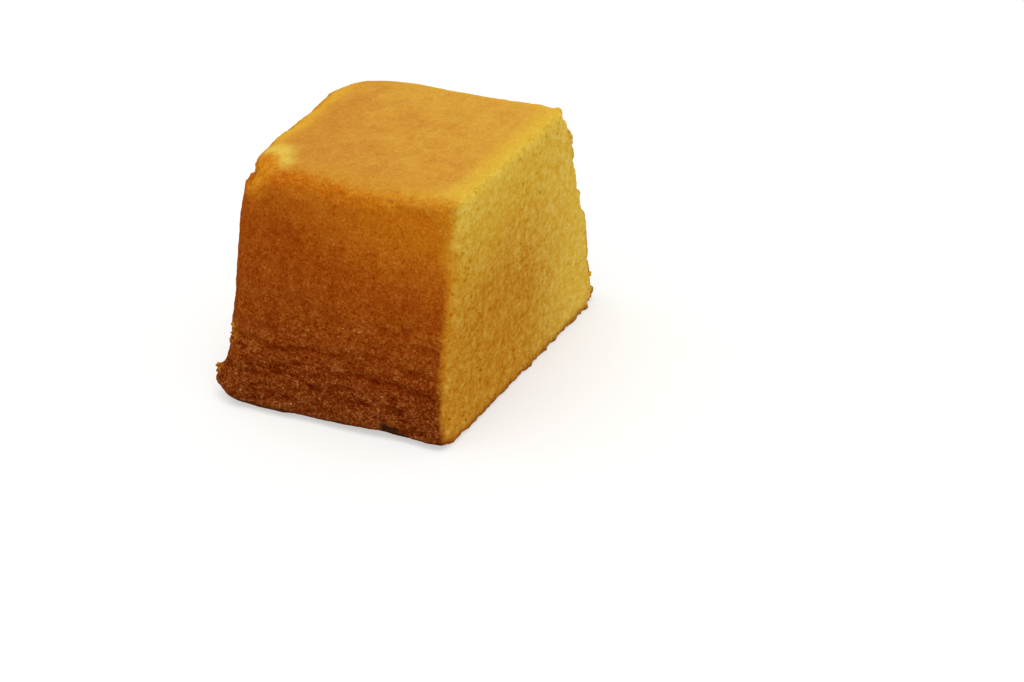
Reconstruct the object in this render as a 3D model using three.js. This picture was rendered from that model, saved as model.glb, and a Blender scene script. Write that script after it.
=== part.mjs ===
// Farmers cake: the end piece of a loaf cake, turned out upside down and cut across once.
// Millimetres, +Z up. The tin's floor left the small face on top, the baked crown is
// underneath, the baked end of the loaf faces -X and the knife cut faces +X.
import * as THREE from "three";
import { ImprovedNoise } from "three/addons/math/ImprovedNoise.js";
import { mergeVertices } from "three/addons/utils/BufferGeometryUtils.js";

// Driving dimensions of the plain block, before it leans and flares
const FLOOR_LENGTH = 71.4; // tin-floor face, from the baked end to the cut
const FLOOR_WIDTH = 76;
const HEIGHT = 72;

// Lean of the walls, in millimetres outwards for each millimetre down
const WALL_TAPER = 0.165;
const BACK_TAPER = 0.172;
const END_TAPER = 0.065;

// The knife ran a little askew across the loaf, and more so for each millimetre down
const CUT_YAW = 0.024;
const CUT_TWIST = 0.00068;

// Rim lip: the batter rose over the tin's rim and spread
const FLARE = 3.1;
const FLARE_HEIGHT = 15;
const CUT_FOOT = 2.2; // the tough lip pushed the knife out further
const BACK_BULGE = 4.2; // the far wall swells above its lip
const BACK_BULGE_HEIGHT = 20;
const BACK_BULGE_SPREAD = 17;

// Rounding of the block's edges
const CORNER_RADIUS = 10.5; // in plan, at the baked end
const TOP_RADIUS = 6.8;
const FOOT_RADIUS = 4.5;
const CUT_RADIUS = 1.5; // crumbs rubbed off along the knife's edge
const CUT_TIGHTNESS = 0.45; // share of the upper edges' radii that is left at the cut

// Crown: flat where the cake's weight rests on it, lifted off towards the baked end
const REST_SINK = 0.7;
const END_LIFT = 3.4;
const LIFT_START = 0.3 * FLOOR_LENGTH; // from the middle towards the baked end
const LIFT_FULL = 0.64 * FLOOR_LENGTH;
const LIFT_REACH = 0.45 * HEIGHT; // the walls above this height stay put

// Crust: soft grain all over, and wrinkles that wander along the walls above the lip
const GRAIN_DEPTH = 0.34;
const GRAIN_LENGTH = 7.5;
const WRINKLE_DEPTH = 0.85;
const WRINKLE_PITCH = 4.7;
const WRINKLE_HEIGHT = 28;
const WRINKLE_WANDER = 6;
const WANDER_LENGTH = 17;
const PATCH_LENGTH = 10;

// Crumb of the cut face, with the larger pores that the knife opened
const CRUMB_DEPTH = 0.24;
const CRUMB_LENGTH = 5.4;
const PORE_SEED = 41;
const PORE_COUNT = 14;
const PORE_RADIUS = [1.4, 2.2];
const PORE_DEPTH = [0.5, 1.1];
const PORE_SQUASH = [0.6, 1.4]; // height of a pore over its width
const PORE_MARGIN = 0.08; // shares of the face's height left free of large pores

// Places where this cake is dented, or swells where the depth is below zero; each is at
// its shares of the plain block's length and width from the middle, and of its height
const DENTS = [
  { at: [-0.47, -0.47, 0.94], radius: 6.5, depth: 2.6 }, // crease of the tin's corner
  { at: [-0.5, 0.3, 0.95], radius: 13, depth: -1.1 }, // fuller edge of the baked end
  { at: [-0.4, 0.48, 0.97], radius: 9, depth: 1.5 }, // blunter far corner of that end
  { at: [0.5, 0.5, 1], radius: 6, depth: 2.2 }, // crumbled far corner of the cut
  { at: [0.5, 0.56, 0.6], radius: 4, depth: 0.9 }, // nick in the far cut edge
  { at: [0.5, -0.58, 0.62], radius: 3.2, depth: 0.9 }, // chip in the near cut edge
  { at: [-0.56, -0.6, 0.1], radius: 2.9, depth: -1.5 }, // flake of the lip
];

// Grid of the block's faces
const SEGMENTS = { x: 26, y: 32, z: 30 };
const GATHER = 0.42; // how much closer the grid lines stand at the edges
const CUT_EDGE = [0.985, 0.999]; // share of the length where crust gives way to the cut

const noise = new ImprovedNoise();
const { clamp, lerp, smoothstep } = THREE.MathUtils;

// A repeatable draw between 0 and 1
function makeDraw(seed) {
  let state = seed;
  return () => {
    state = (state * 16807) % 2147483647;
    return state / 2147483647;
  };
}

// Moves evenly spread shares of an edge closer together at its two ends
const gathered = (share) =>
  share - (GATHER / (2 * Math.PI)) * Math.sin(2 * Math.PI * share);

// A bell that falls from 1 at the middle
const bell = (offset) => Math.exp(-offset * offset);

// Sum of two sizes of smooth noise, about -1 to 1; the salt moves it to a fresh place
function grain(point, length, salt) {
  const at = (size) =>
    noise.noise(point.x / size + salt, point.y / size - salt, point.z / size);
  return at(length) + 0.5 * at(length / 2.1);
}

// A point of the upright block with elliptical edges, from its shares of the three sides
function roundedBlock(share) {
  const low = [-FLOOR_LENGTH / 2, -FLOOR_WIDTH / 2, 0];
  const high = [FLOOR_LENGTH / 2, FLOOR_WIDTH / 2, HEIGHT];
  const upperCut = smoothstep(share[0], 0.5, 1) * smoothstep(share[2], 0.15, 0.6);
  const tight = lerp(1, CUT_TIGHTNESS, upperCut);
  const radii = [
    share[0] > 0.5 ? CUT_RADIUS : CORNER_RADIUS,
    CORNER_RADIUS * tight,
    (share[2] > 0.5 ? TOP_RADIUS : FOOT_RADIUS) * tight,
  ];
  const inner = [];
  const out = [];
  for (let axis = 0; axis < 3; axis++) {
    const value = lerp(low[axis], high[axis], gathered(share[axis]));
    inner[axis] = clamp(value, low[axis] + radii[axis], high[axis] - radii[axis]);
    out[axis] = (value - inner[axis]) / radii[axis];
  }
  const reach = Math.hypot(...out);
  const place = (axis) => inner[axis] + (radii[axis] * out[axis]) / reach;
  return new THREE.Vector3(place(0), place(1), place(2));
}

// Leans the walls out, flares the lip and tilts the cut
function leaned(point) {
  const down = HEIGHT - point.z;
  const toEnd = (FLOOR_LENGTH / 2 - point.x) / FLOOR_LENGTH;
  const toSide = clamp(point.y / (FLOOR_WIDTH / 2), -1, 1);
  const lip = clamp(1 - point.z / FLARE_HEIGHT, 0, 1) ** 2;
  const bulge = BACK_BULGE * bell((point.z - BACK_BULGE_HEIGHT) / BACK_BULGE_SPREAD);
  const wall = point.y > 0 ? BACK_TAPER * down + bulge : WALL_TAPER * down;
  const end = END_TAPER * down + FLARE * lip;
  const cut = (CUT_YAW + CUT_TWIST * down) * point.y + CUT_FOOT * lip;
  return new THREE.Vector3(
    point.x - toEnd * end + (1 - toEnd) * cut,
    point.y + toSide * (wall + FLARE * lip),
    point.z,
  );
}

// Lifts the crown off the table towards the baked end
function lifted(point) {
  const towardsEnd = smoothstep(-point.x, LIFT_START, LIFT_FULL);
  const low = clamp(1 - point.z / LIFT_REACH, 0, 1);
  return point.setZ(point.z + END_LIFT * towardsEnd * low);
}

// How far the dents move a point; each one presses towards the middle of the block
function dented(point) {
  const move = new THREE.Vector3();
  for (const dent of DENTS) {
    const centre = new THREE.Vector3(
      dent.at[0] * FLOOR_LENGTH,
      dent.at[1] * FLOOR_WIDTH,
      dent.at[2] * HEIGHT,
    );
    const inwards = new THREE.Vector3(0, 0, HEIGHT / 2).sub(centre).normalize();
    const depth = dent.depth * bell(point.distanceTo(centre) / dent.radius);
    move.addScaledVector(inwards, depth);
  }
  return move;
}

// The large pores, drawn over the cut face
function makePores() {
  const draw = makeDraw(PORE_SEED);
  const between = ([low, high]) => lerp(low, high, draw());
  return Array.from({ length: PORE_COUNT }, () => ({
    y: between([-FLOOR_WIDTH / 2, FLOOR_WIDTH / 2]),
    z: HEIGHT * between([PORE_MARGIN, 1 - PORE_MARGIN]),
    radius: between(PORE_RADIUS),
    depth: between(PORE_DEPTH),
    squash: between(PORE_SQUASH),
  }));
}
const pores = makePores();

// Height of the cut face's crumb over its plane
function crumbRelief(point) {
  let height = CRUMB_DEPTH * grain(point, CRUMB_LENGTH, 3.7);
  for (const pore of pores) {
    const across = (point.y - pore.y) / pore.radius;
    const up = (point.z - pore.z) / (pore.radius * pore.squash);
    height -= pore.depth * bell(Math.hypot(across, up));
  }
  return height;
}

// Height of the baked crust over its plain form; wall is 1 on an upright face
function crustRelief(point, wall) {
  const along = (size, salt) =>
    noise.noise(point.x / size + salt, point.y / size, (1.5 * point.z) / size);
  const foot = 1 - smoothstep(point.z, 0.4 * WRINKLE_HEIGHT, WRINKLE_HEIGHT);
  const wandering = point.z + WRINKLE_WANDER * along(WANDER_LENGTH, 0);
  const wave = Math.sin((2 * Math.PI * wandering) / WRINKLE_PITCH);
  const patchy = clamp(0.45 + 1.3 * along(PATCH_LENGTH, 5), 0, 1);
  const rough = 0.55 + 0.45 * wall + 0.5 * foot;
  return (
    GRAIN_DEPTH * rough * grain(point, GRAIN_LENGTH, 1.3) +
    WRINKLE_DEPTH * wall * foot * patchy * wave
  );
}

// The whole surface: a gridded box, rounded, leaned, lifted and roughened
function cakeGeometry() {
  const box = new THREE.BoxGeometry(1, 1, 1, SEGMENTS.x, SEGMENTS.y, SEGMENTS.z);
  box.deleteAttribute("normal");
  box.deleteAttribute("uv");
  const skin = mergeVertices(box);
  const place = skin.getAttribute("position");
  const shares = [];
  for (let i = 0; i < place.count; i++) {
    const share = [place.getX(i) + 0.5, place.getY(i) + 0.5, place.getZ(i) + 0.5];
    const point = lifted(leaned(roundedBlock(share)));
    place.setXYZ(i, point.x, point.y, point.z);
    shares.push(share);
  }
  skin.computeVertexNormals();
  const normal = skin.getAttribute("normal");
  const point = new THREE.Vector3();
  const out = new THREE.Vector3();
  for (let i = 0; i < place.count; i++) {
    point.fromBufferAttribute(place, i);
    out.fromBufferAttribute(normal, i);
    const onCut = smoothstep(shares[i][0], ...CUT_EDGE);
    const height = lerp(crustRelief(point, 1 - Math.abs(out.z)), crumbRelief(point), onCut);
    const move = dented(point);
    point.addScaledVector(out, height).add(move);
    place.setXYZ(i, point.x, point.y, Math.max(point.z - REST_SINK, 0));
  }
  return skin;
}

const crust = new THREE.MeshStandardMaterial({
  color: 0xb8742a,
  roughness: 0.85,
  metalness: 0,
});

const cake = new THREE.Mesh(cakeGeometry(), crust);
cake.name = "cake";

// Origin at the centre of the footprint, on the table
cake.geometry.computeBoundingBox();
const centre = cake.geometry.boundingBox.getCenter(new THREE.Vector3());
cake.position.set(-centre.x, -centre.y, 0);

const part = new THREE.Group();
part.name = "farmers_cake";
part.add(cake);

export default part;
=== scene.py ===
"""Farmers cake: the crust, crumb and studio of a loaf cake's end piece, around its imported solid.

The file is laid out as an add-on and run as a script. Properties are in metres; the relief
and the materials work in millimetres, in which the grain of a cake is easier to read.
"""

import math
import random

import bmesh
import bpy
import numpy
from mathutils import Matrix, Vector, kdtree, noise


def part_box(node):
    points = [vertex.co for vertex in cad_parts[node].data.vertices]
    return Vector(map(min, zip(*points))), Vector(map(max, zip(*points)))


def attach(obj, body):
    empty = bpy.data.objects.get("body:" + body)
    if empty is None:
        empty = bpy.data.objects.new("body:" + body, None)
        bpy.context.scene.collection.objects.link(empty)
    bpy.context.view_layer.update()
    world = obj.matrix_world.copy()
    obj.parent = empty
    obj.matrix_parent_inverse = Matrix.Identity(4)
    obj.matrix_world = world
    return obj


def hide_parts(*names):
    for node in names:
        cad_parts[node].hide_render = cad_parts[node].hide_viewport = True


bl_info = {
    "name": "Farmers cake",
    "version": (1, 0, 0),
    "blender": (4, 5, 0),
    "location": "View3D > Sidebar > Cake",
    "description": "Builds the end piece of a loaf cake with its crust, crumb and studio",
    "category": "Object",
}

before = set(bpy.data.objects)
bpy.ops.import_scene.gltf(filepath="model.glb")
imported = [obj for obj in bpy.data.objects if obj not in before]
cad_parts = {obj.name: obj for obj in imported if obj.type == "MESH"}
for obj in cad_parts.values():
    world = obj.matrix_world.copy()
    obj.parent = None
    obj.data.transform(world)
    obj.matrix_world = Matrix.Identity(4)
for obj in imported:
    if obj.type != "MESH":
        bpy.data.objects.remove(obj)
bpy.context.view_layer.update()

CAKE_NODE = "cake"
BODY = "root"
MM = 0.001
HEIGHT_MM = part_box(CAKE_NODE)[1].z / MM

# Places of this cake in millimetres, each with its radius
PALE_PLACES = [((-26, -28.5, 70.8), 7.5), ((-23, -33.5, 70), 7.0)]
GOLDEN_CORNER = ((-28, -35.5, 66.5), 9.0)
CHIPPED_EDGE = ((35.2, -40.6, 58.2), 3.0)
GOLDEN_PLACES = [
    ((-34.2, -44.6, 20.5), 4.2),
    ((-39.6, -45, 7.5), 2.8),
    ((-15.5, -39.5, 66.8), 1.6),
]
SCORCHED_PLACES = [
    ((17, -52, 3.4), 2.4),
    ((19.6, -52, 2.6), 2.6),
    ((22.6, -52, 1.8), 2.4),
    ((1.5, -52, 1.5), 1.8),
]

# Small dents: place, radius and depth in millimetres; one with a depth below zero stands out
DENTS = [
    ((-33, -32, 61), 1.6, -0.3),  # knob under the broken ledge
    ((-39.6, -44.6, 7.4), 1.3, -1.8),  # tip of the lip's flake
    ((-15.5, -39.5, 66.8), 0.9, -0.4),  # bead of crust under the brim
    ((28, 33, 71.5), 13.0, 0.7),  # sunken far corner of the tin floor
    ((35.4, 31.2, 71), 1.8, -1.0),  # tip of that corner at the cut
    ((37.4, 32.5, 68.6), 2.0, 0.8),  # crumbled away under the tip
    ((36.2, 35, 67), 2.4, 1.8),
    ((37.2, 36.5, 62.5), 2.6, 1.0),
    ((37.8, 39, 53), 6.0, 1.0),  # worn stretch of the far cut edge
    ((37.5, 42.5, 38.9), 1.2, -0.5),  # tooth above a nick in that edge
    ((37.6, 44.5, 35.6), 2.2, 1.6),  # the nick
    ((38.4, 45, 29), 4.5, -0.6),  # fuller edge below the nick
    ((-30.5, 26.5, 69.6), 4.0, 0.6),  # blunt far corner of the baked end
    ((-19.5, 31.5, 70.2), 4.0, -0.35),  # high spots of the far brim
    ((-12, 32.5, 70), 9.0, -0.45),
    ((-24, -51, 1.6), 11.0, -0.85),  # lip that sags towards the baked end
]

# The crust broke off above this height at one corner and left a ledge: the break is deep once
# past the edge, and fades between its start and its rise over that height
LEDGE = {
    "place": Vector((-34, -28, 66)),
    "radius": 8.0,
    "height": 62.4,
    "edge": 0.4,
    "start": 0.5,
    "rise": 8.5,
    "depth": 2.4,
}

# The crease above the lip climbs between two heights from the baked end towards the cut
CREASE = {"low": 10.0, "high": 15.5, "start": -38, "end": 14, "width": 1.1, "depth": 0.7}

# Folds round the foot: their length and height in millimetres, and the noise at which one opens
# and at which it is deepest
FOLD = {"length": 12, "height": 2.4, "opens": -0.05, "deepest": 0.5}

# The brim is where the surface turns from the tin floor to the walls, above a height; its
# lumps fade over the width
BRIM = {"turn": 0.55, "reach": 0.07, "lowest": 50, "width": 3.5}

# The cut's edge hardens between two heights into the crest under the tin floor
CREST = {"low": 62, "high": 67, "firmness": 0.75, "width": 3}

# The cut's edge frays over a width, less at its crest, and more from its near to its far side
FRAY = {"width": 1.8, "crest": 0.8, "near": 0.35, "start": -15, "end": 20}

# Pores of the crumb: a draw below empty makes none, and a larger draw a wider one; the scatter
# keeps the draws of neighbours apart
PORE = {"scatter": 9.7, "empty": -0.1, "radius": 0.16, "growth": 0.2}
PORE_NARROWNESS = 0.8  # width of a pore over its height

# Noise of the relief: sizes of its lumps in millimetres, each with its strength
BRIM_LUMPS = ((1.8, 1), (4.2, 1))
CREASE_LUMPS = ((7, 0.6),)
CREASE_WANDER = ((6, 1.6),)
CRUST_LUMPS = ((3.1, 0.6),)
CUT_LUMPS = ((2.6, 0.8),)
FRAY_LUMPS = ((1.3, 1), (3, 1), (6, 0.7))
LEDGE_LUMPS = ((1.6, 0.6),)
SWELL_LUMPS = ((8, 1),)

CUT_GRANULE = 1.5  # millimetres
GRANULE_STRENGTH = 1.3
LIP_HEIGHTS = (5, 13)  # between them the lip passes into the wall
COARSEST = 0.3  # share of the coarse crust's height under which it is coarsest
CUT_SHARES = (0.3, 0.7)  # shares of cut faces at a point where crumb begins and crust ends

# Crumbs that stick to the crust: the place, how far they spread around it and how many, and the
# range of their radii, in millimetres
CHIPS = [
    ((-40, -45.2, 7.6), 0.9, 8),
    ((-34, -45.1, 18.6), 1.2, 8),
    ((-33, -45.2, 22), 1.0, 5),
]
CHIP_RADII = (0.3, 0.6)

# Form of each clinging crumb, in shares of its radius: the range of its three half lengths, and
# the height and the size of its lumps
CRUMB_STRETCH = (0.6, 1.3)
CRUMB_LUMPINESS = 0.8
CRUMB_LUMP_SIZE = 0.7

# How matt the surfaces are, and how far the finest grain bends their light
CRUST_ROUGHNESS = 0.62
CUT_ROUGHNESS = 0.82
CRUMBS_ROUGHNESS = 0.8
GRAIN_BUMP = {"Strength": 0.9, "Distance": 0.5 * MM}

WELD_DISTANCE = 0.001 * MM
EDGE_STEPS = 4  # points along each segment of the cut's edge
SENSOR_WIDTH = 36  # millimetres, for which the camera's focal length is given
NEAREST_SEEN = 0.01  # metres from the camera


def length(name, description, size):
    """A length property, from its size in millimetres."""
    return bpy.props.FloatProperty(
        name=name, description=description, default=size * MM, unit="LENGTH"
    )


def colour(name, description, value):
    """A colour property in linear light."""
    return bpy.props.FloatVectorProperty(
        name=name, description=description, default=value, subtype="COLOR", size=3, min=0, max=1
    )


class CakeRelief(bpy.types.PropertyGroup):
    """Depths and lengths of the crust's and the crumb's relief."""

    smooth_levels: bpy.props.IntProperty(
        name="Smoothing", description="Subdivisions of the solid's quads", default=2, min=1, max=3
    )
    cut_facing: bpy.props.FloatProperty(
        name="Cut facing",
        description="How squarely a face looks along +X to be the cut",
        default=0.35,
    )
    hollow_rounds: bpy.props.IntProperty(
        name="Hollow rounds",
        description="Rounds of smoothing that hollows are measured against",
        default=40,
        min=1,
    )
    grain: length("Crust grain", "Width of the crust's grains", 1.5)
    fine_depth: length("Fine depth", "Depth of the grain high on the walls", 0.14)
    coarse_depth: length("Coarse depth", "Depth of the grain low on the walls", 0.22)
    coarse_from: length("Coarse below", "Height under which the crust turns coarse", 44)
    fold_depth: length("Fold depth", "Depth of the creases round the foot", 0.75)
    brim_depth: length("Brim depth", "How lumpy the tin floor's baked edge is", 0.45)
    lip_swell: length("Lip swell", "How far the lip's lower edge waves", 0.9)
    pore_spacing: length("Pore spacing", "Mean distance of the crumb's larger pores", 3.6)
    pore_depth: length("Pore depth", "Depth of the crumb's larger pores", 0.7)
    crumb_depth: length("Crumb depth", "Depth of the crumb's own grain", 0.3)
    ragged_depth: length("Ragged depth", "How far the cut's edge frays", 0.9)


class CakeCrumbs(bpy.types.PropertyGroup):
    """The crumbs that cling to the cut's far edge and to the crust."""

    count: bpy.props.IntProperty(
        name="Crumbs", description="Number of crumbs along the cut's far edge", default=36, min=0
    )
    smallest: length("Smallest", "Radius of the smallest crumb at the edge", 0.2)
    largest: length("Largest", "Radius of the largest crumb at the edge", 0.7)
    spread: length("Spread", "How far from the cut's edge they lie", 1.6)
    lowest: length("Lowest", "Height above which they lie", 4)
    highest: length("Highest", "Height under which they lie", 66)
    sunk: bpy.props.FloatProperty(
        name="Sunk",
        description="Share of its radius that a crumb sits deeper than the surface",
        default=0.5,
        subtype="FACTOR",
    )
    seed: bpy.props.IntProperty(name="Seed", description="Draw of their places and forms", default=7)


class CakeColours(bpy.types.PropertyGroup):
    """Colours of the crust and the crumb."""

    floor: colour("Tin floor", "Face that lay on the tin's floor", (0.542, 0.281, 0.037))
    floor_dark: colour("Browned floor", "Browner patches of that face", (0.470, 0.197, 0.0260))
    edge: colour("Tin edge", "Yellower crust along that face's edges", (0.592, 0.325, 0.027))
    crest: colour("Crest", "Thin crust of that face beside the cut", (0.590, 0.372, 0.036))
    pale: colour("Pale corner", "Crust that hardly browned", (0.600, 0.410, 0.061))
    golden: colour("Golden crust", "Thin crust of the walls' edges", (0.542, 0.198, 0.0092))
    wall_brim: colour("Wall at the brim", "Walls under the tin floor's edge", (0.487, 0.141, 0.0050))
    wall_high: colour("High wall", "Walls under that", (0.425, 0.110, 0.0059))
    wall_upper: colour("Upper wall", "Walls above half height", (0.318, 0.064, 0.0036))
    wall_mid: colour("Middle wall", "Walls under half height", (0.285, 0.0555, 0.0037))
    wall_low: colour("Low wall", "Walls above the lip", (0.206, 0.0330, 0.0030))
    lip: colour("Lip", "Crust of the lip", (0.154, 0.0265, 0.0029))
    crown: colour("Crown", "Darkest crust, underneath", (0.056, 0.0181, 0.0068))
    scorch: colour("Scorch", "Burnt spots of the lip", (0.020, 0.0090, 0.0056))
    crumb: colour("Crumb", "Cut crumb", (0.680, 0.388, 0.036))
    crumb_light: colour("Light crumb", "Crumb that stayed moist", (0.754, 0.492, 0.063))
    # Partly painted shade: the cut's lower crumb is darkened towards it
    crumb_low: colour("Low crumb", "Crumb near the crown", (0.540, 0.218, 0.0158))


class CakeStage(bpy.types.PropertyGroup):
    """Camera, floor and lights."""

    azimuth: bpy.props.FloatProperty(
        name="Azimuth",
        description="Camera's turn from the front towards the cut",
        default=math.radians(23.07),
        subtype="ANGLE",
    )
    elevation: bpy.props.FloatProperty(
        name="Elevation",
        description="Camera's height angle",
        default=math.radians(29.04),
        subtype="ANGLE",
    )
    distance: length("Distance", "From the camera to its aim on the floor", 658.3)
    aim: bpy.props.FloatVectorProperty(
        name="Aim",
        description="Point of the floor in the middle of the picture",
        default=(0.02755, 0.01425, 0),
        subtype="TRANSLATION",
        size=3,
    )
    lens: bpy.props.FloatProperty(
        name="Lens", description="Focal length for a 36 mm wide picture", default=76.45, unit="CAMERA"
    )
    sky: bpy.props.FloatProperty(
        name="Sky", description="Strength of the white surroundings", default=0.48
    )
    key_power: bpy.props.FloatProperty(
        name="Key light", description="Power of the softbox overhead", default=39.3, unit="POWER"
    )
    key_size: length("Key size", "Side of the softbox", 2400)
    key_place: bpy.props.FloatVectorProperty(
        name="Key place",
        description="Middle of the softbox",
        default=(-0.1, -0.1, 1.7),
        subtype="TRANSLATION",
        size=3,
    )
    floor_reach: length("Floor reach", "From the cake to the floor's edges", 6000)
    floor_colour: colour("Floor", "Pale floor", (0.40, 0.397, 0.391))
    glow_colour: colour("Floor glow", "Soft glow of the floor", (1, 0.985, 0.955))
    glow: bpy.props.FloatProperty(
        name="Glow", description="Strength of the floor's glow, which keeps shadows faint", default=0.54
    )
    floor_roughness: bpy.props.FloatProperty(
        name="Floor roughness", description="How matt the floor is", default=0.9, subtype="FACTOR"
    )


class Field:
    """A shader value; each Python operator used on it adds a Math node to its tree."""

    def __init__(self, tree, socket=None):
        self.tree = tree
        self.socket = socket

    def node(self, kind, settings=None, sockets=None, output=0):
        """Adds a node: its settings first, then the values or links of its sockets."""
        made = self.tree.nodes.new(kind)
        for name, value in (settings or {}).items():
            if name == "stops":
                set_stops(made.color_ramp, value)
            else:
                setattr(made, name, value)
        for key, value in (sockets or {}).items():
            if isinstance(value, Field):
                self.tree.links.new(value.socket, made.inputs[key])
            else:
                made.inputs[key].default_value = value
        return Field(self.tree, made.outputs[output] if made.outputs else None)

    def math(self, operation, *values):
        """Adds a Math node on fields or numbers."""
        return self.node("ShaderNodeMath", {"operation": operation}, dict(enumerate(values)))

    def __add__(self, other):
        return self.math("ADD", self, other)

    def __sub__(self, other):
        return self.math("SUBTRACT", self, other)

    def __rsub__(self, other):
        return self.math("SUBTRACT", other, self)

    def __mul__(self, other):
        return self.math("MULTIPLY", self, other)

    def __truediv__(self, other):
        return self.math("DIVIDE", self, other)

    __radd__ = __add__
    __rmul__ = __mul__

    def sibling(self, name):
        """Another output of the node that gave this value."""
        return Field(self.tree, self.socket.node.outputs[name])

    def step(self, low, high):
        """Rises smoothly from 0 at low to 1 at high, or falls where low is the larger."""
        ends = {"Value": self, "From Min": low, "From Max": high}
        return self.node("ShaderNodeMapRange", {"interpolation_type": "SMOOTHSTEP"}, ends)

    def mix(self, first, second):
        """The colour first where this value is 0 and second where it is 1."""
        ends = {0: self, 6: opaque(first), 7: opaque(second)}
        return self.node("ShaderNodeMix", {"data_type": "RGBA"}, ends, output=2)

    def toned(self, tone):
        """This colour made lighter and duller by a tone over zero, darker and deeper under it."""
        return self.node("ShaderNodeGamma", None, {"Color": self, "Gamma": 1 - tone})

    def scaled(self, factor):
        """This vector with each axis multiplied by one factor."""
        return self.node("ShaderNodeVectorMath", {"operation": "SCALE"}, {0: self, "Scale": factor})


def opaque(value):
    """A colour property as a socket's four numbers; a link is passed on."""
    return value if isinstance(value, Field) else (*value, 1)


def set_stops(ramp, stops):
    """Gives a colour ramp its stops, from first to last."""
    while len(ramp.elements) < len(stops):
        ramp.elements.new(1)
    for element, (position, value) in zip(ramp.elements, stops):
        element.position = position
        element.color = opaque(value)


class Surface:
    """The fields that the cake's materials read: place in millimetres, marks and noise."""

    def __init__(self, tree):
        self.root = Field(tree)
        self.place = self.root.node("ShaderNodeTexCoord", output="Object").scaled(1 / MM)
        axes = {"Vector": self.place}
        self.x, self.y, self.z = (
            self.root.node("ShaderNodeSeparateXYZ", None, axes, output=axis) for axis in "XYZ"
        )

    def mark(self, name):
        """A value stored on the mesh's points."""
        return self.root.node("ShaderNodeAttribute", {"attribute_name": name}, output="Fac")

    def squeezed(self, factors):
        """The place with each axis multiplied by its factor, for stretched noise."""
        times = {"operation": "MULTIPLY"}
        return self.root.node("ShaderNodeVectorMath", times, {0: self.place, 1: factors})

    def noise(self, size, detail=2.0, place=None, curl=0.0):
        """Noise about zero, from -1 to 1, with lumps of that size in millimetres."""
        sockets = {
            "Vector": place or self.place,
            "Scale": 1 / size,
            "Detail": detail,
            "Distortion": curl,
        }
        return (self.root.node("ShaderNodeTexNoise", None, sockets) - 0.5) * 2

    def dots(self, spacing, share, place=None):
        """1 inside scattered spots of uneven size; that share of the cells between them has one."""
        sockets = {"Vector": place or self.place, "Scale": 1 / spacing}
        gap = self.root.node("ShaderNodeTexVoronoi", None, sockets)
        draw = self.root.node("ShaderNodeSeparateColor", None, {"Color": gap.sibling("Color")})
        radius = 0.4 * draw.step(1 - share, 1) - 0.12 * self.noise(0.25 * spacing)
        return (radius - gap).step(0, 0.2)

    def grained(self, value, tone):
        """A plain colour with a grain's tone on it."""
        return self.root.node("ShaderNodeGamma", None, {"Color": opaque(value), "Gamma": 1 - tone})

    def shade(self):
        """How far the surface is hollow, below zero, or stands out a little, in millimetres."""
        # The colours are darkened by this as painted shade in hollows and creases
        hollow = self.mark("hollow")
        return hollow.math("MINIMUM", hollow, 0.1)

    def near(self, centre, radius):
        """1 at a place, falling to 0 at the radius with a wavering edge."""
        ends = {0: self.place, 1: centre}
        gap = self.root.node("ShaderNodeVectorMath", {"operation": "DISTANCE"}, ends, output="Value")
        return (gap + 0.3 * radius * self.noise(0.6 * radius)).step(radius, 0.3 * radius)


# In the materials below, a number before a noise is its strength and the first number in it the
# size of its lumps. The ends of a step are millimetres where they follow a place or a distance.
# A number before a mask that is mixed is the new colour's largest share.


class CrustGrain:
    """The crust's grain and painted glints: fine high on the walls, coarse and flattened towards the
    foot.
    """

    def __init__(self, surface):
        self.coarse = (surface.z + 5 * surface.noise(12)).step(50, 13)
        flat = surface.squeezed((0.7, 0.7, 1.15))
        even = 0.35 * surface.noise(0.45, 1) + 0.5 * surface.noise(0.95, 1, curl=0.6)
        layered = 0.75 * surface.noise(0.45, 1, flat, 0.8) + 0.65 * surface.noise(0.85, 1, flat, 0.8)
        grains = even * (1 - self.coarse) + layered * self.coarse
        patches = 0.36 * surface.noise(1.8, 1, curl=0.6) + 0.2 * surface.noise(4, 1)
        # Painted glints and painted shade: heavy-tailed specks, light like glints on the grains' tips,
        # dark like shade in the pits
        sharp = surface.noise(0.62, 0, curl=0.8)
        specks = sharp * sharp.math("ABSOLUTE", sharp)
        # Besides the grain's own tone, the dots make it darker as painted shade in pits
        self.tone = grains + patches + 1.1 * specks - 0.3 * surface.dots(1.4, 0.5)


class CrumbGrain:
    """The cut crumb's grain: granules in clumps, with small pores between them in painted shade."""

    def __init__(self, surface):
        along = surface.squeezed((1, 0.75, 1))
        grains = 0.45 * surface.noise(0.42, 1, along) + 0.5 * surface.noise(0.8, 1, along)
        clumps = 0.6 * surface.noise(1.6, 1, along) + 0.5 * surface.noise(3.2, 1, along)
        # The dots are pores, darker as painted shade
        self.tone = grains + clumps + 0.08 - 0.8 * surface.dots(1.5, 0.6, along)


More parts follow.
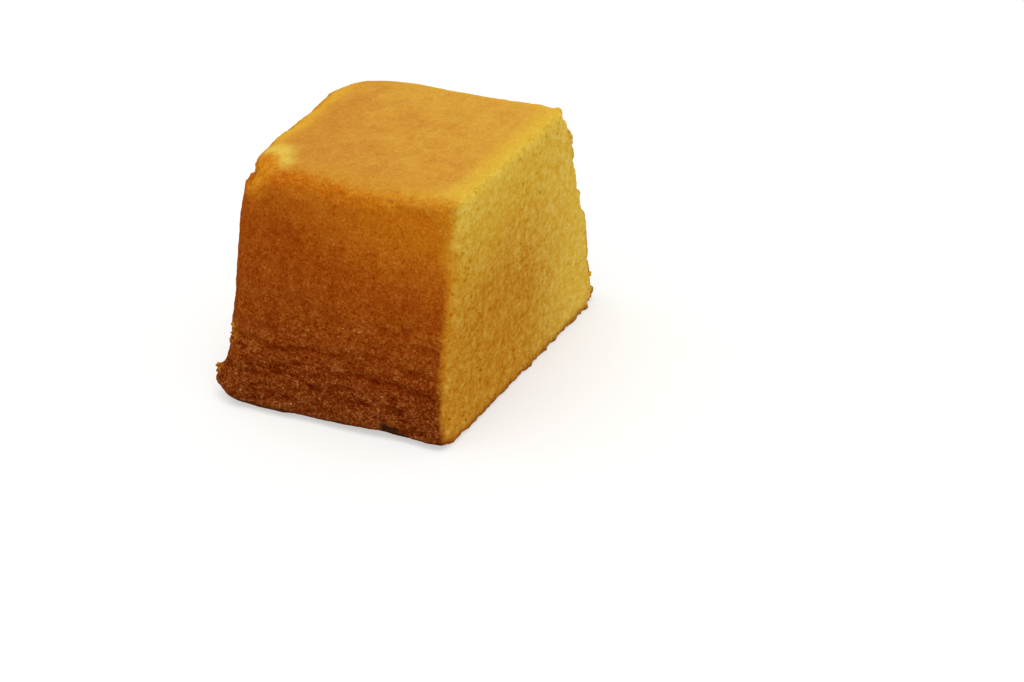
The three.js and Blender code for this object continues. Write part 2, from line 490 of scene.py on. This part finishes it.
def wall_colour(surface, colours, crust):
    """Brown that deepens down the walls and is lighter towards the cut."""
    calm = 1 - 0.6 * crust.coarse
    drift = calm * (3 * surface.noise(30) + 3 * surface.noise(9)) + 2 * surface.noise(2.6)
    towards_cut = surface.x.step(-40, 40) - 0.33
    lean = 26 * towards_cut * surface.z.step(14, 60)
    stops = [
        (0.05, colours.lip),
        (0.20, colours.wall_low),
        (0.45, colours.wall_mid),
        (0.63, colours.wall_upper),
        (0.80, colours.wall_high),
        (0.95, colours.wall_brim),
    ]
    height = 0.9 * (surface.z + drift + lean) / HEIGHT_MM
    wall = surface.root.node("ShaderNodeValToRGB", {"stops": stops}, {"Fac": height})
    for centre, radius in GOLDEN_PLACES:
        wall = (0.25 * surface.near(centre, radius)).mix(wall, colours.golden)
    lower = surface.z.step(62, 46)
    grain = (0.36 + 0.1 * lower + 0.15 * crust.coarse) * crust.tone
    # Painted shade: the walls darker in their hollows and creases
    hollows = (0.2 + 0.2 * crust.coarse) * surface.shade()
    return wall.toned(grain + hollows + 0.06 * crust.coarse)


def floor_colour(surface, colours, crust, brim):
    """Even tan with soft browner patches, paler along its edges and at one corner."""
    lean = 0.010 * surface.x + 0.010 * surface.y
    across = surface.squeezed((1, 0.7, 1))
    mottles = 0.6 * surface.noise(14)
    mottles = mottles + 0.4 * surface.noise(5, place=across) + 0.5 * surface.noise(2, place=across)
    patch = (mottles + lean).step(-0.6, 0.65)
    floor = patch.mix(colours.floor_dark, colours.floor)
    band = (brim + 2.2 * surface.noise(7)).step(11, 4) * surface.y.step(-44, -14)
    floor = (0.9 * band).mix(floor, colours.edge)
    front = (brim + 2 * surface.noise(5)).step(5.5, 1.5)
    front = front * surface.x.step(-22, 0) * surface.y.step(-14, -30)
    floor = (0.6 * front).mix(floor, colours.edge)
    for centre, radius in PALE_PLACES:
        floor = (0.85 * surface.near(centre, radius)).mix(floor, colours.pale)
    # Painted glints: light specks on the tin floor's grain
    specks = surface.dots(1.3, 0.5)
    # Painted shade: the tin floor darker in its hollows
    return floor.toned(0.2 * crust.tone + 0.1 * specks + 0.15 * surface.shade())


def crust_colour(surface, colours, rim, crust):
    """Walls and tin floor together, golden at the baked end's edge and beside the cut."""
    brim = surface.mark("brim")
    front = surface.y.step(-24, -36)
    baked_end = (1 - front) * surface.x.step(-20, -32)
    browner_side = 2.6 * front - 0.075 * surface.x
    waves = 2.6 * surface.noise(5.5) + 1.8 * surface.noise(2.2)
    top = (brim + waves + 1.2 * baked_end - browner_side).step(-3.0, 4.4)
    wall = wall_colour(surface, colours, crust)
    base = top.mix(wall, floor_colour(surface, colours, crust, brim))
    golden = surface.grained(colours.golden, 0.4 * crust.tone)
    end_edge = (brim + 2.5 * surface.noise(5)).step(-12, 1) * baked_end * (1 - top)
    base = (0.65 * end_edge).mix(base, golden)
    base = (0.9 * surface.near(*GOLDEN_CORNER)).mix(base, golden)
    crest = (rim + 1.5 * surface.noise(5)).step(8, 0.5) * top
    base = (0.75 * crest).mix(base, surface.grained(colours.crest, 0.25 * crust.tone))
    high = surface.z.step(46, 62)
    ragged = rim + 0.8 * surface.noise(2.2)
    thin = (ragged / (2.2 + 5.6 * high)).step(1, 0) * surface.z.step(6, 24) * (1 - top)
    base = (0.85 * thin).mix(base, golden)
    yellow = (ragged / 3.2).step(1, 0) * high * (1 - top)
    base = (0.6 * yellow).mix(base, surface.grained(colours.edge, 0.4 * crust.tone))
    return darkened_crust(surface, colours, base)


def darkened_crust(surface, colours, base):
    """The crust with its dark crown underneath and the lip's burnt spots."""
    crown = (surface.mark("under") + 0.2 * surface.noise(3)).step(0.2, 0.7)
    base = (0.85 * crown).mix(base, colours.crown)
    for centre, radius in SCORCHED_PLACES:
        base = (0.85 * surface.near(centre, radius)).mix(base, colours.scorch)
    return base


def crumb_colour(surface, colours, rim, crumb):
    """Yellow crumb, browner low down, paler on the far side and under the tin floor."""
    # Browner low down: partly crumb that is deeper near the crown, partly painted shade
    low = (surface.z + 6 * surface.noise(15)).step(66, 28)
    base = (0.9 * low).mix(colours.crumb, colours.crumb_low)
    far_side = (surface.y + 8 * surface.noise(15)).step(-8, 40)
    base = (0.9 * far_side).mix(base, colours.crumb_light)
    under_floor = (surface.z + 3 * surface.noise(6)).step(52, 68)
    base = (0.4 * under_floor).mix(base, colours.crumb_light)
    stain = (surface.noise(7) + 0.6 * surface.noise(1.8)).step(0.2, 0.8)
    base = (0.35 * stain).mix(base, colours.golden)
    # Painted shade: the crumb darker where the mesh's pores are deep
    depth = surface.mark("pit").step(0.08, 0.5)
    # Painted shade: the crumb darker in its hollows
    base = base.toned(0.42 * crumb.tone + 0.2 * surface.shade() - 0.12 * depth)
    return edged_crumb(surface, colours, rim, crumb, base)


def edged_crumb(surface, colours, rim, crumb, base):
    """The crumb with its edge: golden at the walls, moist under the tin floor, brown at the foot."""
    far_foot = surface.y.step(20, 40) * surface.z.step(40, 15)
    reach = 2.2 + 3.4 * surface.z.step(42, 58) + 4 * far_foot
    rind = ((rim + 0.8 * surface.noise(1.6)) / reach).step(1, 0) * surface.z.step(68, 60)
    base = (0.6 * rind).mix(base, surface.grained(colours.golden, 0.4 * crumb.tone))
    ragged = rim + 0.6 * surface.noise(2)
    moist = ragged.step(6.5, 1.5) * surface.z.step(59, 66)
    base = (0.8 * moist).mix(base, surface.grained(colours.crumb_light, 0.3 * crumb.tone))
    crest = ragged.step(2.2, 0.8) * surface.z.step(63, 67)
    base = (0.9 * crest).mix(base, surface.grained(colours.crest, 0.25 * crumb.tone))
    crown = (rim + 0.8 * surface.noise(2.2)).step(3.4, 0.6) * surface.z.step(9, 4)
    return (0.85 * crown).mix(base, colours.wall_low)


def grain_bump(surface, cut, crust, crumb):
    """Fine grain of crust and crumb, too small for the mesh, as a normal."""
    grain = (0.35 + 0.25 * crust.coarse) * crust.tone
    height = grain * (1 - cut) + 0.45 * crumb.tone * cut
    return surface.root.node("ShaderNodeBump", None, {"Height": height, **GRAIN_BUMP})


def new_material(name):
    """A material with nodes and nothing in it, and its surface fields."""
    material = bpy.data.materials.new(name)
    material.use_nodes = True
    material.node_tree.nodes.clear()
    return material, Surface(material.node_tree)


def finish_material(material, surface, sockets):
    """Ends a material in one principled shader."""
    shader = surface.root.node("ShaderNodeBsdfPrincipled", None, sockets)
    surface.root.node("ShaderNodeOutputMaterial", None, {"Surface": shader})
    return material


def cake_material(colours):
    """Crust and crumb in one material, parted by the marks on the mesh."""
    material, surface = new_material("cake_crust_and_crumb")
    rim = surface.mark("rim")
    cut = (surface.mark("cut") + 0.12 * surface.noise(1.8)).step(0.32, 0.68)
    crust = CrustGrain(surface)
    crumb = CrumbGrain(surface)
    skin = crust_colour(surface, colours, rim, crust)
    base = cut.mix(skin, crumb_colour(surface, colours, rim, crumb))
    chip = surface.grained(colours.crumb_light, 0.4 * crumb.tone)
    base = (0.6 * surface.near(*CHIPPED_EDGE)).mix(base, chip)
    sockets = {
        "Base Color": base,
        "Roughness": CRUST_ROUGHNESS + (CUT_ROUGHNESS - CRUST_ROUGHNESS) * cut,
        "Specular IOR Level": 0,
        "Normal": grain_bump(surface, cut, crust, crumb),
    }
    return finish_material(material, surface, sockets)


def crumbs_material(colours):
    """Clinging crumbs, yellow at the cut and browned on the baked end's crust."""
    material, surface = new_material("cake_crumbs")
    tone = surface.noise(2.5).step(-0.35, 0.35)
    base = tone.mix(colours.crumb, colours.crumb_light)
    browned = tone.mix(colours.wall_upper, colours.golden)
    base = surface.x.step(33, 29).mix(base, browned)
    sockets = {
        "Base Color": base.toned(0.4 * surface.noise(0.5)),
        "Roughness": CRUMBS_ROUGHNESS,
        "Specular IOR Level": 0,
    }
    return finish_material(material, surface, sockets)


def step(value, low, high):
    """The smooth step of the relief, as in the materials."""
    share = min(max((value - low) / (high - low), 0), 1)
    return share * share * (3 - 2 * share)


def bell(offset):
    """Falls from 1 at the middle to nothing about two widths off."""
    return math.exp(-offset * offset)


def lumps(place, sizes):
    """Sum of smooth noise with lumps of these sizes in millimetres, each with its strength."""
    return sum(strength * noise.noise(place / size) for size, strength in sizes)


def welded_quads(node):
    """A merged copy of a solid's mesh with its triangles joined to quads."""
    shape = bmesh.new()
    shape.from_mesh(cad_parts[node].data)
    bmesh.ops.remove_doubles(shape, verts=shape.verts, dist=WELD_DISTANCE)
    bmesh.ops.join_triangles(
        shape, faces=shape.faces, angle_face_threshold=math.pi, angle_shape_threshold=math.pi
    )
    return shape


def mark_cut(shape, facing):
    """Stores on each vertex the share of its faces that the knife cut; returns the cut's edge."""
    layer = shape.verts.layers.float.new("cut")
    shape.normal_update()
    knifed = {face for face in shape.faces if face.normal.x > facing}
    for vert in shape.verts:
        vert[layer] = sum(face in knifed for face in vert.link_faces) / len(vert.link_faces)
    edge_points = []
    for edge in shape.edges:
        if sum(face in knifed for face in edge.link_faces) == 1:
            start, end = (vert.co.copy() for vert in edge.verts)
            edge_points += [start.lerp(end, index / EDGE_STEPS) for index in range(EDGE_STEPS)]
    return edge_points


def subdivided(name, shape, levels):
    """The mesh of a shape under a subdivision surface, with its marks."""
    coarse = bpy.data.meshes.new(name + "_coarse")
    shape.to_mesh(coarse)
    shape.free()
    holder = bpy.data.objects.new(name + "_coarse", coarse)
    bpy.context.scene.collection.objects.link(holder)
    smoothing = holder.modifiers.new("Smoothing", "SUBSURF")
    smoothing.levels = levels
    smoothing.render_levels = levels
    graph = bpy.context.evaluated_depsgraph_get()
    mesh = bpy.data.meshes.new_from_object(holder.evaluated_get(graph), depsgraph=graph)
    bpy.data.objects.remove(holder)
    bpy.data.meshes.remove(coarse)
    return mesh


def point_tree(points):
    """A search tree over points."""
    tree = kdtree.KDTree(len(points))
    for index, point in enumerate(points):
        tree.insert(point, index)
    tree.balance()
    return tree


def granules(place, width):
    """Height of grains packed side by side, from about -0.5 to 0.5."""
    return 0.5 - noise.voronoi(place / width)[0][0]


def pore_depth(place, spacing):
    """Depth from 0 to 1 of scattered round pores, about half of the places being empty."""
    distances, centres = noise.voronoi(place / spacing)
    draw = noise.cell(centres[0] * PORE["scatter"])
    if draw < PORE["empty"]:
        return 0
    radius = PORE["radius"] + PORE["growth"] * draw
    # The root makes a pore steep in the middle and soft towards its edge
    return (0.5 + 0.5 * draw) * step(radius - distances[0] ** 0.5 * 0.5, 0, radius)


def crumb_height(place, relief):
    """Height of the cut crumb over its face, and the depth of its pores, in millimetres."""
    drawn = Vector((place.x, place.y, place.z * PORE_NARROWNESS))
    pit = relief.pore_depth / MM * pore_depth(drawn, relief.pore_spacing / MM)
    grain = GRANULE_STRENGTH * granules(place, CUT_GRANULE) + lumps(place, CUT_LUMPS)
    return relief.crumb_depth / MM * grain - pit, pit


def fold_height(place):
    """Height, from about -1 to 0, of the creases that wander round the foot."""
    flat = Vector((place.x / FOLD["length"], place.y / FOLD["length"], place.z / FOLD["height"]))
    waves = -noise.noise(flat) - 0.5 * noise.noise(flat * 2.1)
    fold = step(waves, FOLD["opens"], FOLD["deepest"])
    climb = step(place.x, CREASE["start"], CREASE["end"])
    line = CREASE["low"] + (CREASE["high"] - CREASE["low"]) * climb + lumps(place, CREASE_WANDER)
    depth = CREASE["depth"] + lumps(place, CREASE_LUMPS)
    return -max(fold, bell((place.z - line) / CREASE["width"]) * depth)


def crust_height(place, wall, brim, relief):
    """Height of the crust's grain, lumps and creases over its plain form, in millimetres."""
    coarse = 1 - step(place.z, COARSEST * relief.coarse_from / MM, relief.coarse_from / MM)
    depth = relief.fine_depth / MM * (0.5 + 0.5 * wall) + relief.coarse_depth / MM * coarse * wall
    grain = GRANULE_STRENGTH * granules(place, relief.grain / MM) + lumps(place, CRUST_LUMPS)
    lip = 1 - step(place.z, *LIP_HEIGHTS)
    folds = relief.fold_depth / MM * coarse * wall * fold_height(place)
    knobs = relief.brim_depth / MM * (bell(brim / BRIM["width"]) * lumps(place, BRIM_LUMPS))
    swell = relief.lip_swell / MM * lip * lumps(place, SWELL_LUMPS)
    return depth * grain + folds + knobs + swell


def fray_height(place, rim, crest, relief):
    """Height of the cut's frayed edge, in millimetres; its near side and its crest hold firmer."""
    far = step(place.y, FRAY["start"], FRAY["end"])
    loose = (1 - FRAY["crest"] * crest) * (FRAY["near"] + (1 - FRAY["near"]) * far)
    return relief.ragged_depth / MM * bell(rim / FRAY["width"]) * loose * lumps(place, FRAY_LUMPS)


def dent_height(place):
    """Height of this cake's own small dents and its broken ledge, in millimetres."""
    height = -sum(
        depth * bell((place - Vector(centre)).length / radius) for centre, radius, depth in DENTS
    )
    aside = (place - LEDGE["place"]).xy.length / LEDGE["radius"]
    above = place.z - LEDGE["height"] - lumps(place, LEDGE_LUMPS)
    broken = step(above, -LEDGE["edge"], LEDGE["edge"])
    broken *= 1 - step(above, LEDGE["start"], LEDGE["rise"])
    return height - LEDGE["depth"] * bell(aside * aside) * broken


def hollow_marks(mesh, rounds):
    """How far each point stands out from its smoothed surroundings, in millimetres."""
    count = len(mesh.vertices)
    ends = numpy.empty(2 * len(mesh.edges), dtype=numpy.int32)
    mesh.edges.foreach_get("vertices", ends)
    start, end = ends[::2], ends[1::2]
    places = numpy.empty(3 * count)
    mesh.vertices.foreach_get("co", places)
    places = places.reshape(-1, 3)
    normals = numpy.empty(3 * count)
    mesh.vertices.foreach_get("normal", normals)
    links = numpy.bincount(ends, minlength=count)
    smooth = places.copy()
    for _ in range(rounds):
        for axis in range(3):
            column = smooth[:, axis]
            total = numpy.bincount(start, column[end], count)
            total = total + numpy.bincount(end, column[start], count)
            smooth[:, axis] = 0.5 * column + 0.5 * total / links
    return ((places - smooth) * normals.reshape(-1, 3)).sum(1) / MM


def store_mark(mesh, name, values):
    """Stores a value on each of the mesh's points."""
    mesh.attributes.new(name, "FLOAT", "POINT").data.foreach_set("value", values)


def brim_marks(mesh):
    """Distance in millimetres from the tin floor's baked edge, below zero down the walls."""
    turn = BRIM["turn"]
    high = [vert.co.z / MM > BRIM["lowest"] for vert in mesh.vertices]
    ring = [
        vert.co
        for vert in mesh.vertices
        if high[vert.index] and abs(vert.normal.z - turn) < BRIM["reach"] and vert.normal.x < turn
    ]
    tree = point_tree(ring)
    marks = []
    for vert in mesh.vertices:
        gap = tree.find(vert.co)[2] / MM
        on_floor = high[vert.index] and vert.normal.z > turn
        marks.append(gap if on_floor else -gap)
    return marks


def roughen(mesh, edge_points, relief):
    """Moves the mesh's points by their relief and stores the marks that the materials read."""
    tree = point_tree(edge_points)
    brims = brim_marks(mesh)
    store_mark(mesh, "brim", brims)
    cut = mesh.attributes["cut"].data
    marks = {name: [0.0] * len(mesh.vertices) for name in ("rim", "pit", "under")}
    normals = [vert.normal.copy() for vert in mesh.vertices]
    for vert, normal in zip(mesh.vertices, normals):
        place = vert.co / MM
        rim = tree.find(vert.co)[2] / MM
        on_cut = step(cut[vert.index].value, *CUT_SHARES)
        crumb, pit = crumb_height(place, relief) if on_cut else (0, 0)
        wall = 1 - abs(normal.z)
        crust = crust_height(place, wall, brims[vert.index], relief) if on_cut < 1 else 0
        crest = step(place.z, CREST["low"], CREST["high"])
        firm = 1 - CREST["firmness"] * crest * bell(rim / CREST["width"])
        fray = fray_height(place, rim, crest, relief)
        height = crust + (firm * crumb - crust) * on_cut + fray + dent_height(place)
        vert.co += normal * height * MM
        vert.co.z = max(vert.co.z, 0)
        marks["rim"][vert.index] = rim
        marks["pit"][vert.index] = firm * pit * on_cut
        marks["under"][vert.index] = -normal.z
    mesh.update()
    for name, values in marks.items():
        store_mark(mesh, name, values)
    store_mark(mesh, "hollow", hollow_marks(mesh, relief.hollow_rounds))


def add_piece(name, mesh, material):
    """A finished piece at the origin, riding on the cake's body."""
    mesh.name = name
    mesh.materials.clear()
    mesh.materials.append(material)
    mesh.shade_smooth()
    piece = bpy.data.objects.new(name, mesh)
    bpy.context.scene.collection.objects.link(piece)
    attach(piece, BODY)
    return piece


class CAKE_OT_bake_block(bpy.types.Operator):
    """Builds the block of cake over its solid: smoothed, roughened and coloured"""

    bl_idname = "cake.bake_block"
    bl_label = "Bake block"

    def execute(self, context):
        relief = context.scene.cake_relief
        shape = welded_quads(CAKE_NODE)
        edge_points = mark_cut(shape, relief.cut_facing)
        if not edge_points:
            raise RuntimeError("the solid has no face that looks along +X to be the cut")
        mesh = subdivided("cake_block", shape, relief.smooth_levels)
        roughen(mesh, edge_points, relief)
        block = add_piece("cake_block", mesh, cake_material(context.scene.cake_colours))
        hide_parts(CAKE_NODE)
        return {"FINISHED"}


def add_crumb(shape, place, radius, draw):
    """Adds one lumpy crumb to a mesh."""
    stretch = [radius * draw.uniform(*CRUMB_STRETCH) for _ in range(3)]
    turn = Matrix.Rotation(draw.uniform(0, math.tau), 4, Vector((draw.random(), draw.random(), 1)))
    matrix = Matrix.Translation(place) @ turn @ Matrix.Diagonal((*stretch, 1))
    crumb = bmesh.ops.create_icosphere(shape, subdivisions=2, radius=1, matrix=matrix)
    for vert in crumb["verts"]:
        out = vert.co - place
        lump = noise.noise(vert.co / (CRUMB_LUMP_SIZE * radius))
        vert.co = place + out * (1 + CRUMB_LUMPINESS * lump)


def add_edge_crumbs(shape, block, crumbs, draw):
    """Adds the crumbs that cling along the far half of the cut's edge."""
    rim = block.attributes["rim"].data
    edge = [
        vert
        for vert in block.vertices
        if rim[vert.index].value * MM < crumbs.spread
        and crumbs.lowest < vert.co.z < crumbs.highest
        and vert.co.y > 0
    ]
    for vert in draw.sample(edge, crumbs.count):
        radius = crumbs.smallest + (crumbs.largest - crumbs.smallest) * draw.random() ** 2
        add_crumb(shape, vert.co - crumbs.sunk * radius * vert.normal, radius, draw)


def add_chips(shape, block, draw):
    """Adds the crumbs that stick to the crust at their own places."""
    skin = point_tree([vert.co for vert in block.vertices])
    for centre, reach, count in CHIPS:
        for _ in range(count):
            aside = Vector([draw.gauss(0, reach) for _ in range(3)])
            place = skin.find((Vector(centre) + aside) * MM)[0]
            add_crumb(shape, place, draw.uniform(*CHIP_RADII) * MM, draw)


class CAKE_OT_scatter_crumbs(bpy.types.Operator):
    """Scatters the crumbs that cling to the cut's far edge and to the crust"""

    bl_idname = "cake.scatter_crumbs"
    bl_label = "Scatter crumbs"

    def execute(self, context):
        crumbs = context.scene.cake_crumbs
        block = bpy.data.objects.get("cake_block")
        if block is None:
            raise RuntimeError("the block is baked before its crumbs are scattered")
        draw = random.Random(crumbs.seed)
        shape = bmesh.new()
        add_edge_crumbs(shape, block.data, crumbs, draw)
        add_chips(shape, block.data, draw)
        mesh = bpy.data.meshes.new("cake_crumbs")
        shape.to_mesh(mesh)
        shape.free()
        add_piece("cake_crumbs", mesh, crumbs_material(context.scene.cake_colours))
        return {"FINISHED"}


def add_floor(stage):
    """A wide pale floor with a soft glow."""
    shape = bmesh.new()
    bmesh.ops.create_grid(shape, x_segments=1, y_segments=1, size=stage.floor_reach)
    mesh = bpy.data.meshes.new("studio_floor")
    shape.to_mesh(mesh)
    shape.free()
    material = bpy.data.materials.new("studio_floor")
    material.use_nodes = True
    shader = material.node_tree.nodes["Principled BSDF"]
    shader.inputs["Base Color"].default_value = opaque(stage.floor_colour)
    shader.inputs["Emission Color"].default_value = opaque(stage.glow_colour)
    shader.inputs["Emission Strength"].default_value = stage.glow
    shader.inputs["Roughness"].default_value = stage.floor_roughness
    shader.inputs["Specular IOR Level"].default_value = 0
    mesh.materials.append(material)
    floor = bpy.data.objects.new("studio_floor", mesh)
    bpy.context.scene.collection.objects.link(floor)


def add_softbox(name, place, size, power):
    """A square area light that looks at the cake's foot."""
    light = bpy.data.lights.new(name, "AREA")
    light.size = size
    light.energy = power
    lamp = bpy.data.objects.new(name, light)
    lamp.location = place
    lamp.rotation_euler = (-Vector(place)).to_track_quat("-Z", "Y").to_euler()
    bpy.context.scene.collection.objects.link(lamp)


def add_camera(stage):
    """The camera at the photograph's angle."""
    turn, rise = stage.azimuth, stage.elevation
    across = math.cos(rise)
    back = Vector((math.sin(turn) * across, -math.cos(turn) * across, math.sin(rise)))
    lens = bpy.data.cameras.new("camera")
    lens.sensor_fit = "HORIZONTAL"
    lens.sensor_width = SENSOR_WIDTH
    lens.lens = stage.lens
    lens.clip_start = NEAREST_SEEN
    camera = bpy.data.objects.new("camera", lens)
    camera.location = Vector(stage.aim) + back * stage.distance
    camera.rotation_euler = (-back).to_track_quat("-Z", "Y").to_euler()
    bpy.context.scene.collection.objects.link(camera)
    bpy.context.scene.camera = camera


def add_surroundings(scene, strength):
    """White surroundings on every side, shown without a film look."""
    world = bpy.data.worlds.new("white_room")
    world.use_nodes = True
    background = world.node_tree.nodes["Background"]
    background.inputs["Color"].default_value = (1, 1, 1, 1)
    background.inputs["Strength"].default_value = strength
    scene.world = world
    scene.view_settings.view_transform = "Standard"


class CAKE_OT_set_stage(bpy.types.Operator):
    """Sets the floor, the soft light and the camera"""

    bl_idname = "cake.set_stage"
    bl_label = "Set stage"

    def execute(self, context):
        stage = context.scene.cake_stage
        add_floor(stage)
        add_softbox("key_softbox", stage.key_place, stage.key_size, stage.key_power)
        add_camera(stage)
        add_surroundings(context.scene, stage.sky)
        return {"FINISHED"}


STEPS = (CAKE_OT_bake_block, CAKE_OT_scatter_crumbs, CAKE_OT_set_stage)


class CAKE_PT_panel(bpy.types.Panel):
    """Lists the steps that build the cake"""

    bl_idname = "CAKE_PT_panel"
    bl_label = "Farmers cake"
    bl_space_type = "VIEW_3D"
    bl_region_type = "UI"
    bl_category = "Cake"

    def draw(self, context):
        for operator in STEPS:
            self.layout.operator(operator.bl_idname)


SETTINGS = {
    "cake_relief": CakeRelief,
    "cake_crumbs": CakeCrumbs,
    "cake_colours": CakeColours,
    "cake_stage": CakeStage,
}
CLASSES = (*SETTINGS.values(), *STEPS, CAKE_PT_panel)


def register():
    """Adds the classes and gives the scene its settings."""
    for kind in CLASSES:
        bpy.utils.register_class(kind)
    for name, kind in SETTINGS.items():
        setattr(bpy.types.Scene, name, bpy.props.PointerProperty(type=kind))


def unregister():
    """Takes the settings and the classes away again."""
    for name in SETTINGS:
        delattr(bpy.types.Scene, name)
    for kind in reversed(CLASSES):
        bpy.utils.unregister_class(kind)


def main():
    """Builds the cake on its stage."""
    register()
    bpy.ops.cake.bake_block()
    bpy.ops.cake.scatter_crumbs()
    bpy.ops.cake.set_stage()


if __name__ == "__main__":
    main()
